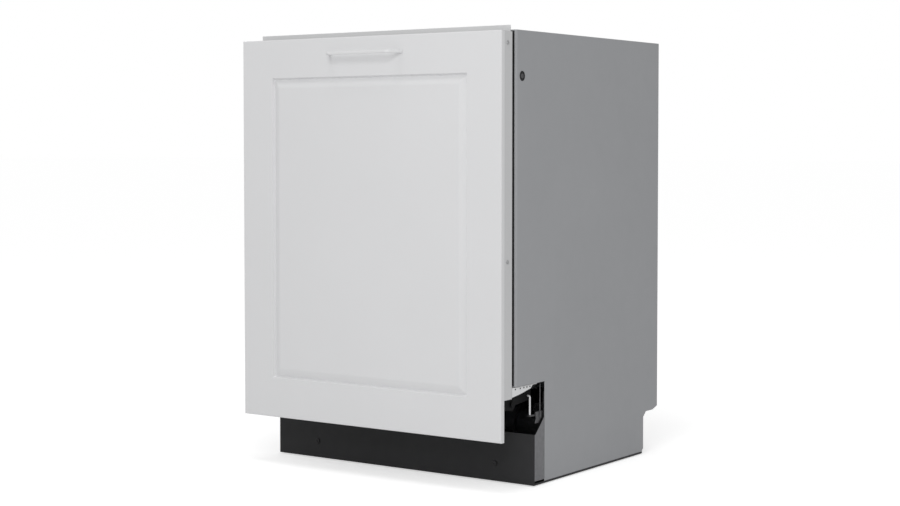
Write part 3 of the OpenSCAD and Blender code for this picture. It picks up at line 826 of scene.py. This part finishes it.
def make_spray_arm(node, joint_name, reach, degrees, wide):
    """A moulded arm: crowned blades that taper and sweep a little, a hub cap and raised jets."""
    low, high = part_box(node)
    x, y, _ = joint_place[joint_name]
    hub = Vector((x, y, low.z))
    thick = 6 * MM
    swing = math.radians(degrees)
    along_dir = Vector((math.cos(swing), math.sin(swing), 0))
    side_dir = Vector((-math.sin(swing), math.cos(swing), 0))
    stations = 36

    def half_width(s):
        taper = wide * (1 - 0.30 * abs(s)) / 2
        end = 1 - max(0.0, (abs(s) - 0.93) / 0.07) ** 2
        return taper * math.sqrt(max(end, 0.02))

    def on_blade(s, offset, height):
        """A point on the blade's swept line, offset to the side and up in metres."""
        swept = 6 * MM * math.copysign(s * s, s)
        return hub + along_dir * (reach * s) + side_dir * (swept + offset) + UP * height

    def crowned(value, power):
        return math.copysign(abs(value) ** power, value)

    build = bmesh.new()
    rings = []
    for i in range(stations + 1):
        s = -0.55 * math.cos(math.pi * i / stations) + 0.45 * (2 * i / stations - 1)
        rings.append(ring(build, [
            on_blade(s, crowned(math.cos(a), 0.6) * half_width(s),
                     thick / 2 * (1 + crowned(math.sin(a), 0.75))) for a in turn(20)]))
    loft(build, rings)
    hub_top = (high.z - low.z) / MM
    lathe(build, hub, UP,
          [(0.0, 24), (0.6, 26.5), (5.4, 27.5), (6.6, 26), (7.2, 20), (7.6, 12), (hub_top - 0.2, 11),
           (hub_top, 10), (hub_top, 4), (hub_top - 1.4, 3.4), (hub_top - 1.6, 0)], 40)
    jet = [(-1.0, 4.2), (0.2, 3.6), (0.7, 2.9), (0.7, 1.9), (-0.9, 1.4), (-1.0, 0)]
    for side in SIDES:
        for i in range(6):
            offset = (2.5 if i % 2 else -2.5) * MM
            lathe(build, on_blade(side * (0.17 + 0.14 * i), offset, thick), UP, jet, 16)
    finish_piece(build, "shaped_" + node, node, sharp=45)


# ---- tub and door liner ----

SHEET_GAUGE = 1.0 * MM


def make_tub_wrap():
    """The tub's folded sheet: rounded top corners, and long beads pressed into both sides."""
    low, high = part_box("tub_wrap")
    room = 1.2 * SHEET_GAUGE
    bead_depth = 1.1 * MM
    inner_low = low + Vector((room, 0, 0))
    inner_high = high - Vector((room, 0, room))

    def point_at(u, v):
        point, out, share, stretch = arch(inner_low, inner_high, 22 * MM, u)
        press = 0.0
        if stretch == "side":
            press = sum(rise(share, start, start + 0.055, 0.016) for start in (0.13, 0.30, 0.47, 0.80))
        if stretch == "top":
            press = sum(rise(share, start, start + 0.16, 0.03) for start in (0.16, 0.42, 0.68))
        point = point + out * (bead_depth * press * rise(v, 0.10, 0.92, 0.03))
        return Vector((point.x, low.y + (high.y - low.y) * v, point.z)), out

    make_sheet("tub_shell", "tub_wrap", point_at, 240, 60, SHEET_GAUGE, 50)


def make_tub_back():
    """The tub's rear wall: a pressed frame, two panels and a flat for the upper rack's feed."""
    low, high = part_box("tub_back_wall")
    feed = Vector((0, 0.440))

    def point_at(u, v):
        x = low.x + (high.x - low.x) * u
        z = low.z + (high.z - low.z) * v
        press = 1.2 * rise(u, 0.06, 0.94, 0.025) * rise(v, 0.06, 0.94, 0.02)
        for centre in (0.22, 0.78):
            press += 1.4 * rise(u, centre - 0.10, centre + 0.10, 0.02) * rise(v, 0.14, 0.86, 0.02)
        press *= 1 - rise(-(Vector((x, z)) - feed).length, -0.045, 1, 0.012)
        return Vector((x, low.y + press * MM, z)), Vector((0, 1, 0))

    make_sheet("tub_back", "tub_back_wall", point_at, 110, 120, SHEET_GAUGE, 50)


def pierced_plate(build, outline, holes, at, sides):
    """A flat sheet with round holes (x, y, radius); at(p, q, k) places a point on its face k."""
    faces = []
    for face in (0, 1):
        loops = [outline] + [arc(p, q, radius, 0, 360, sides)[:-1] for p, q, radius in holes]
        loops = [ring(build, [at(p, q, face) for p, q in loop]) for loop in loops]
        edges = [build.edges.new(ends) for loop in loops for ends in zip(loop, loop[1:] + loop[:1])]
        bmesh.ops.triangle_fill(build, use_beauty=True, edges=edges)
        faces.append(loops)
    for first, second in zip(*faces):
        bridge(build, first, second)


def make_tub_floor():
    """The tub's floor: a sheet with round holes for the filter, arm and float, and a front drop."""
    low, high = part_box("tub_floor")
    holes = [(0, -85 * MM, 57.8 * MM), (0, 25 * MM, 14.6 * MM), (-200 * MM, -150 * MM, 8.2 * MM)]
    outline = rounded_rectangle(low.x, high.x, low.y, high.y, 6 * MM, 4)
    underside = high.z - SHEET_GAUGE
    side_room = 2 * MM
    drop_gauge = 1.4 * MM
    build = bmesh.new()
    pierced_plate(build, outline, holes, lambda x, y, face: (x, y, (high.z, underside)[face]), 48)
    slab(build, (low.x + side_room, low.y, low.z), (high.x - side_room, low.y + drop_gauge, underside))
    finish_piece(build, "tub_pan", "tub_floor", sharp=40)


def make_gasket():
    """The door gasket: a foot in its channel and a bulb with a lip, round three sides."""
    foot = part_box("tub_gasket")[0].z
    middle_x = 270 * MM
    middle_z = 783 * MM
    back = -224 * MM
    route = bent([(-middle_x, back, foot), (-middle_x, back, middle_z), (middle_x, back, middle_z),
                  (middle_x, back, foot)], 14 * MM, False, 8)
    profile = [(-5.2, 0), (5.2, 0), (5.4, 1.4), (3.2, 2.2), (4.6, 3.4), (5.4, 5.0), (5.0, 6.8),
               (3.6, 8.4), (1.4, 9.4), (-1.0, 9.4), (-3.4, 8.8), (-5.2, 9.6), (-5.8, 9.3), (-5.0, 6.6),
               (-4.4, 4.2), (-3.2, 2.2), (-5.4, 1.4)]
    build = bmesh.new()
    sweep(build, route, [(across * MM, deep * MM) for across, deep in profile],
          Vector((0, -1, 0)), False)
    finish_piece(build, "gasket_profile", "tub_gasket", sharp=40)


def make_liner():
    """The inner door: a flat flange and a deep pressed pan with an opening for the dispenser."""
    low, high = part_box("inner_door_liner")
    cup_low, cup_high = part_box("dispenser_body")
    pan_low = Vector((-258, 0, 186)) * MM
    pan_high = Vector((258, 0, 770)) * MM
    field_low = pan_low + UP * (6 * MM)
    flange = 0.9
    pan = (high.y - low.y) / MM
    field = pan - 2.0
    cup_rim = pan - 0.6
    stages = [(low, high, [(0, 0, 3), (0, flange, 3)]),
              (pan_low, pan_high, [(0, flange, 20), (0.6, 3, 20), (2, pan - 4, 19),
                                   (3.2, pan - 1.4, 18), (6, pan, 16)]),
              (field_low, pan_high, [(34, pan, 24), (37, field, 22)]),
              (cup_low, cup_high, [(-10, field, 14), (-8, cup_rim, 12), (-1, cup_rim, 6),
                                   (-1, pan - 5, 6)])]
    build = bmesh.new()
    rings = []
    for box_low, box_high, steps_in in stages:
        rings += framed(build, box_low, box_high, low.y, steps_in)
    loft(build, rings, False)
    finish_piece(build, "pressed_liner", "inner_door_liner", sharp=32)


def make_insulation():
    """The bitumen and felt mat wrapped over the tub, dented where it is pressed down."""
    low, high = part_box("tub_insulation")
    gauge = 2.2 * MM
    most_lift = 2.4
    inset = gauge + (most_lift + 0.2) * MM
    inner_low = low + Vector((inset, 0, 0))
    inner_high = high - Vector((inset, 0, inset))
    pitch = 90 * MM

    def point_at(u, v):
        point, out, _, _ = arch(inner_low, inner_high, 18 * MM, u)
        spot = Vector((point.x, low.y + (high.y - low.y) * v, point.z))
        wrinkles = noise.noise(spot * 14) * 0.9 + noise.noise(spot * 50) * 0.35
        puff = abs(math.sin(math.pi * (spot.x + spot.z) / pitch) * math.sin(math.pi * spot.y / pitch))
        lift = max(0.0, min(most_lift, 0.4 + 0.7 * wrinkles + 1.9 * math.sqrt(puff)))
        return spot + out * (lift * MM), out

    make_sheet("quilted_mat", "tub_insulation", point_at, 200, 80, gauge, 60)


def make_rear_panel():
    """The rear cover: a thin sheet stiffened by a pressed frame and two diagonal beads."""
    low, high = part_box("rear_panel")
    gauge = 0.9 * MM

    def point_at(u, v):
        press = 2.4 * rise(u, 0.07, 0.93, 0.010) * rise(v, 0.07, 0.93, 0.008)
        line = min(abs((v - 0.5) - slope * (u - 0.5) * 0.8) for slope in (1, -1))
        press -= 1.8 * rise(-line, -0.03, 1, 0.010) * rise(u, 0.14, 0.86, 0.015)
        return (Vector((low.x + (high.x - low.x) * u, high.y - gauge - press * MM,
                        low.z + (high.z - low.z) * v)), Vector((0, 1, 0)))

    make_sheet("pressed_back", "rear_panel", point_at, 150, 170, gauge, 60)


# ---- fittings ----

def make_cutlery_basket():
    """A moulded basket of slats between three rails, with two dividers and a grid for a floor."""
    low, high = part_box("cutlery_basket")
    slat = 3.0 * MM
    wall = 2.2 * MM
    step = 8.4 * MM
    inset = 2.0 * MM
    rail_pad = Vector((wall / 2, wall / 2, 0)) * 1.15
    x0, x1 = low.x + inset, high.x - inset
    y0, y1 = low.y + inset, high.y - inset
    bottom = low.z + 0.2 * MM
    top = high.z - 0.5 * MM
    build = bmesh.new()

    def wall_of_slats(start, end, rim):
        start, end = Vector((*start, 0)), Vector((*end, 0))
        run = (end - start).length
        along = (end - start) / run
        count = round(run / step)
        half = along * (slat / 2) + Vector((along.y, along.x, 0)) * (wall / 2)
        for i in range(count + 1):
            spot = start + along * (run * i / count)
            slab(build, spot - half + UP * bottom, spot + half + UP * rim)
        for z, tall in ((bottom, 5 * MM), ((bottom + rim) / 2, 3 * MM), (rim - 5 * MM, 5 * MM)):
            slab(build, start - rail_pad + UP * z, end + rail_pad + UP * (z + tall))

    for y in (y0, y1):
        wall_of_slats((x0, y), (x1, y), top)
    for x in (x0, x1):
        wall_of_slats((x, y0 + 6 * MM), (x, y1 - 6 * MM), top)
    for share in (1 / 3, 2 / 3):
        x = low.x + (high.x - low.x) * share
        wall_of_slats((x, y0 + 4 * MM), (x, y1 - 4 * MM), top - 12 * MM)
    half_bar = 1.2 * MM
    for i in range(13):
        y = y0 + (y1 - y0) * i / 12
        slab(build, (x0, y - half_bar, bottom), (x1, y + half_bar, bottom + 2.4 * MM))
    for i in range(21):
        x = x0 + (x1 - x0) * i / 20
        slab(build, (x - half_bar, y0, bottom + 0.2 * MM), (x + half_bar, y1, bottom + 2.2 * MM))
    finish_piece(build, "slatted_basket", "cutlery_basket", edge=0.35, segments=1, sharp=40)


def make_feet():
    """Levelling feet: a pad, a hexagon to turn it by, and a threaded stem."""
    low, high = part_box("levelling_feet")
    pad_r = 17.0
    hex_z = 2.0 * MM
    stem_z = 3.4 * MM
    pitch = 1.5
    thread = [(0, 4.1)]
    for i in range(int((high.z - stem_z) / (pitch * MM))):
        thread += [(i * pitch + 0.4, 4.1), (i * pitch + 0.8, 4.9), (i * pitch + 1.1, 4.8)]
    for x in (low.x + pad_r * MM, high.x - pad_r * MM):
        for y in (low.y + pad_r * MM, high.y - pad_r * MM):
            build = bmesh.new()
            lathe(build, (x, y, 0), UP,
                  [(0, 15.4), (0.5, 16.8), (1.3, pad_r), (1.8, 16.4), (2.1, 13)], 48)
            lathe(build, (x, y, hex_z), UP, [(0, 8), (1.5, 8)], 6)
            lathe(build, (x, y, stem_z), UP, thread, 20)
            finish_piece(build, "screw_foot", "levelling_feet", sharp=30)


def make_dispenser_lid():
    """The sliding lid over the detergent cup: crowned, with three raised finger ribs."""
    low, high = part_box("dispenser_lid")
    middle = (low.x + high.x) / 2
    crown = 2.7
    stages = [(0.8, 0, 7), (0.0, 0.5, 8), (0.2, crown - 1.3, 8), (1.4, crown - 0.5, 8),
              (5.0, crown - 0.15, 7), (12.0, crown, 6)]
    build = bmesh.new()
    loft(build, framed(build, low, high, low.y, stages))
    foot_y = low.y + (crown - 0.4) * MM
    rib_y = high.y - 0.9 * MM
    for i in range(3):
        z = low.z + (6 + 4 * i) * MM
        rib = [(middle + x * MM, y, z)
               for x, y in ((-13, foot_y), (-11, rib_y), (11, rib_y), (13, foot_y))]
        tube(build, bent(rib, 1.2 * MM), 0.9 * MM, 10)
    finish_piece(build, "shaped_lid", "dispenser_lid", sharp=30)


def make_rinse_cap():
    """The rinse-aid cap: a fluted rim round a dished face with a bar to turn it by."""
    low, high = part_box("rinse_aid_cap")
    centre = (low + high) / 2
    radius = (high.x - low.x) / 2
    face = low.y + 15 * MM
    flutes = 28
    build = bmesh.new()
    rings = []
    for behind, share, flute in ((-15, 0.90, 0), (-14.4, 0.93, 0), (-5, 0.93, 0), (-4.6, 0.97, 0.4),
                                 (-0.8, 0.97, 0.4), (-0.1, 0.90, 0.1), (0, 0.84, 0),
                                 (-1.2, 0.76, 0), (-1.6, 0.60, 0), (-1.7, 0.1, 0)):
        points = []
        for a in turn(flutes * 4):
            r = radius * share + flute * MM * math.cos(flutes * a)
            points.append((centre.x + r * math.cos(a), face + behind * MM, centre.z + r * math.sin(a)))
        rings.append(ring(build, points))
    loft(build, rings)
    bar = Vector((2.6, 0, 14.5)) * MM
    tall = (high.y - face) / MM
    grip = [(inset, depth, 1.6 - inset / 2)
            for inset, depth in ((0.0, -1.8), (0.2, tall - 0.8), (0.9, tall))]
    loft(build, framed(build, centre - bar, centre + bar, face, grip, 4))
    finish_piece(build, "fluted_cap", "rinse_aid_cap", sharp=30)


PORT_WALL = 241 * MM
PORT_Z = 50 * MM


def hollow_spout(build, x, length, outline, bore):
    """A spout in mm: outer (share of the length, radius) points, then back down its bore."""
    profile = [(length * share, radius) for share, radius in outline]
    profile += [(length, bore), (length * 0.2, bore), (length * 0.2, 0)]
    lathe(build, (x * MM, PORT_WALL, PORT_Z), (0, 1, 0), profile, 40)


def make_ports():
    """Water inlet with its thread, drain spout with its hose barbs, and the supply entry."""
    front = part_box("inlet_valve")[0].y
    inlet_x, drain_x, supply_x = -230, -175, 200
    thread = [(0.0, 12.4)]
    for i in range(7):
        thread += [(along + 0.125 * i, radius)
                   for along, radius in ((0.06, 12.4), (0.10, 13.2), (0.14, 13.1), (0.17, 12.4))]
    barbs = [(0.0, 8.6)]
    for i in range(3):
        barbs += [(along + 0.27 * i, radius)
                  for along, radius in ((0.12, 8.5), (0.16, 9.5), (0.36, 8.7))]
    sleeve = [(0.0, 8.6), (0.3, 8.6), (0.36, 8.0), (0.94, 7.2), (1.0, 6.6)]
    build = bmesh.new()
    hollow_spout(build, inlet_x, 15, thread + [(0.97, 12.4), (1.0, 12.0)], 9.4)
    hollow_spout(build, drain_x, 24, barbs + [(1.0, 8.0)], 6.4)
    hollow_spout(build, supply_x, 10, sleeve, 4.2)
    finish_piece(build, "rear_spouts", "inlet_valve", sharp=28)
    build = bmesh.new()
    for x, half_x, half_z, neck in ((inlet_x, 20, 15, 12.4), (drain_x, 11, 10, 8.7),
                                    (supply_x, 30, 25, 7.8)):
        slab(build, ((x - half_x) * MM, front, PORT_Z - half_z * MM),
             ((x + half_x) * MM, front + 30 * MM, PORT_Z + half_z * MM))
        lathe(build, (x * MM, front + 29.5 * MM, PORT_Z), (0, 1, 0), [(0, neck), (27, neck)])
    finish_piece(build, "valve_bodies", "inlet_valve", edge=1.2)


def make_toe_kick():
    """The recessed front board, and the plated return at each end that hides the base."""
    low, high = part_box("toe_kick")
    board_top = 94 * MM
    board_back = low.y + 1.5 * MM
    outline = [(low.x, low.z), (high.x, low.z), (high.x, board_top), (low.x, board_top)]
    screw_holes = [(x, 34 * MM, 5.6 * MM) for x in (-202 * MM, 214 * MM)]
    build = bmesh.new()
    pierced_plate(build, outline, screw_holes, lambda x, z, face: (x, (low.y, board_back)[face], z), 32)
    finish_piece(build, "kick_board", "toe_kick", sharp=30)
    front = low.y + 1.6 * MM
    foot = 9.5 * MM
    for side in SIDES:
        build = bmesh.new()
        plate(build, [(front, foot), (high.y, foot), (high.y, high.z), (low.y + 5 * MM, board_top),
                      (front, board_top)], side * (high.x - 1.2 * MM), side * high.x)
        finish_piece(build, "kick_return", "toe_kick", edge=0.3, slot="screw_steel")


def make_cabinet_screws():
    """Black screws hold the toe-kick, and plated ones go through the side fixings."""
    beyond_kick_screws = 250 * MM
    for slot, middle in (("kick_black", True), ("hinge_steel", False)):
        build = loose_copy("cabinet_screws")
        others = [v for v in build.verts if (abs(v.co.x) < beyond_kick_screws) != middle]
        bmesh.ops.delete(build, geom=others, context="VERTS")
        finish_piece(build, "shaped_cabinet_screws", "cabinet_screws", edge=0.3, slot=slot)


make_panel()
make_handle()
make_hinge_brackets()
make_hinge_springs()
make_rack("bottom_basket", "lower_rack", "lower_rack_walls", 15, 17, (0.0, 0.45, 1.0))
make_tines()
make_axles()
make_wheels("front_wheels")
make_wheels("rear_wheels")
make_rack("top_basket", "upper_rack", "upper_rack_walls", 15, 15, (0.0, 0.5, 1.0))
make_runners("upper_rack_walls", 560, 5.6)
make_upper_duct()
make_rack("cutlery_deck", "cutlery_tray", "cutlery_tray_walls", 15, 31, (0.0, 1.0))
make_runners("cutlery_tray_walls", 748, 3.8)
make_spray_arm("lower_spray_arm", "lower_arm_spin", 225 * MM, 25, 38 * MM)
make_spray_arm("upper_spray_arm", "upper_arm_spin", 190 * MM, -35, 36 * MM)
make_tub_wrap()
make_tub_back()
make_tub_floor()
make_gasket()
make_liner()
make_insulation()
make_rear_panel()
make_cutlery_basket()
make_feet()
make_dispenser_lid()
make_rinse_cap()
make_ports()
make_toe_kick()
make_cabinet_screws()
soften("left_side_panel", 0.35, 50)
soften("right_side_panel", 0.35, 50)

# The widths, in mm, of the broken edges on the parts whose CAD shape is already right.
soft_edges = {
    "outer_door_shell": 0.5, "door_screws": 0.4, "control_panel": 0.8, "display_window": 0.3,
    "power_button": 0.5, "program_button": 0.5, "option_button": 0.5, "start_button": 0.5,
    "door_latch": 0.6, "lower_door_seal": 2.0, "hinge_arms": 0.5, "hinge_pins": 0.5,
    "top_front_rail": 0.4, "rear_cross_rail": 0.4, "base_tray": 1.0, "side_trims": 0.5,
    "tub_front_frame": 0.4, "latch_strike": 0.4, "sump": 1.5, "filter_cup": 0.8,
    "circulation_pump": 1.5, "drain_pump": 1.5, "air_break": 2.0, "float_switch": 1.2,
    "spray_feed_tube": 1.5, "rack_rails": 0.5, "dispenser_body": 1.2,
}
for node_name, width in soft_edges.items():
    soften(node_name, width)

for node_name, node_object in nodes.items():
    node_object.data.materials.clear()
    node_object.data.materials.append(materials[slot_of_node[node_name]])
